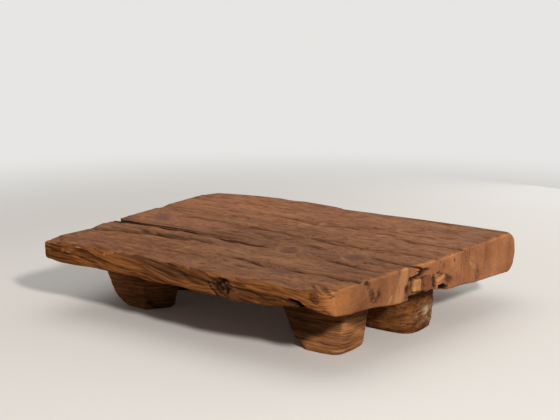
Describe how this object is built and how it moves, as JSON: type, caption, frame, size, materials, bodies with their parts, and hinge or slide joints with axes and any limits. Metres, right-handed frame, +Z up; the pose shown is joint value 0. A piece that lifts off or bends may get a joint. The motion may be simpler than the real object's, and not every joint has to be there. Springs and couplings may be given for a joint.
{
  "type": "low dining table",
  "caption": "Low dining table for eating on the floor: thick hewn planks on stubby block legs, with a wavy front edge, an open seam and a torn end.",
  "frame": {"origin": "on the floor, under the middle of the top's outline", "axes": "+X along the planks to the right seen from the front, +Y towards the thick rear edge, +Z up; the front edge faces -Y"},
  "size_m": [0.9034, 0.7688, 0.18],
  "materials": {
    "plank_wood": "old waxed reddish brown hardwood, worn lighter along the edges",
    "leg_wood": "hewn dark brown hardwood, dry and worn",
    "peg_wood": "split hardwood, unfinished",
    "torn_wood": "pale torn end grain"
  },
  "bodies": {
    "root": {"front_plank": "plank_wood", "rear_plank": "plank_wood", "front_left_leg": "leg_wood", "front_right_leg": "leg_wood", "rear_left_leg": "leg_wood", "rear_right_leg": "leg_wood", "front_left_wedge": "peg_wood", "front_right_wedge": "peg_wood", "rear_left_wedge": "peg_wood", "rear_right_wedge": "peg_wood", "seam_tongue_left": "peg_wood", "seam_tongue_middle": "peg_wood", "seam_tongue_right": "peg_wood", "seam_peg_front_left": "peg_wood", "seam_peg_front_middle": "peg_wood", "seam_peg_front_right": "peg_wood", "seam_peg_rear_left": "peg_wood", "seam_peg_rear_middle": "peg_wood", "seam_peg_rear_right": "peg_wood", "torn_end_block": "torn_wood", "torn_end_plug": "torn_wood", "torn_end_sliver": "torn_wood"}
  },
  "joints": []
}
